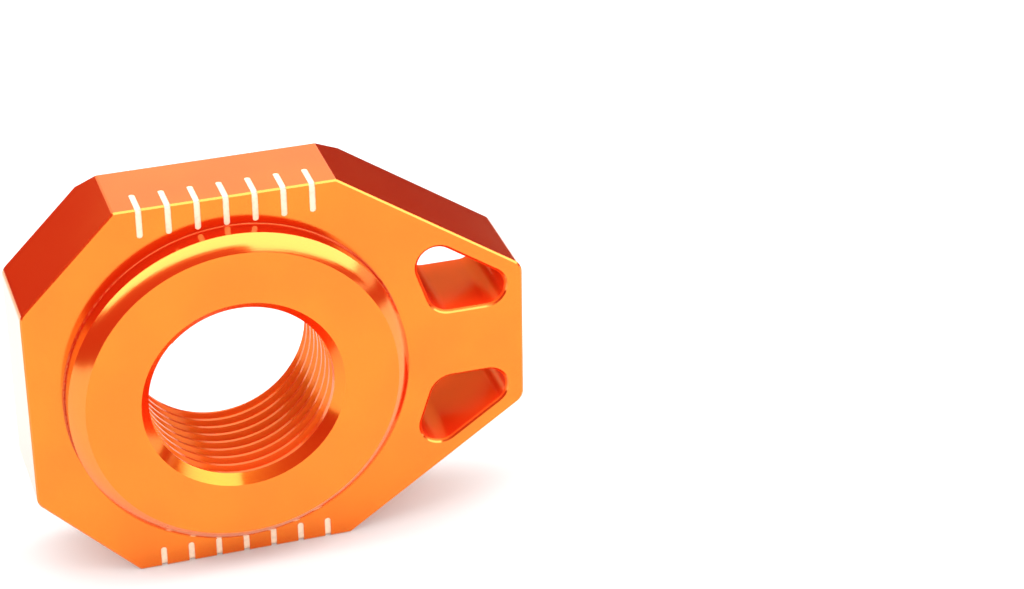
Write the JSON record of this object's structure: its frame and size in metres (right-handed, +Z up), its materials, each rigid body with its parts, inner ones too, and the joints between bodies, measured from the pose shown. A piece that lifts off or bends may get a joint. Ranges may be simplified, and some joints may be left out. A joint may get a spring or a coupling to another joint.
{
  "type": "motorcycle chain adjuster",
  "caption": "Anodised aluminium rear axle block for setting chain tension, with a threaded bore in a raised boss, engraved scale marks and lightening windows in its nose.",
  "frame": {"origin": "on the bore's axis, in the plane of the plate's outer face", "axes": "+X towards the nose, +Y along the bore towards the swingarm side, +Z up, square to the upper land"},
  "size_m": [0.0496, 0.0136, 0.04],
  "materials": {
    "orange_anodising": "satin orange anodising on machined aluminium"
  },
  "bodies": {
    "root": {"adjuster_block": "orange_anodising"}
  },
  "joints": []
}
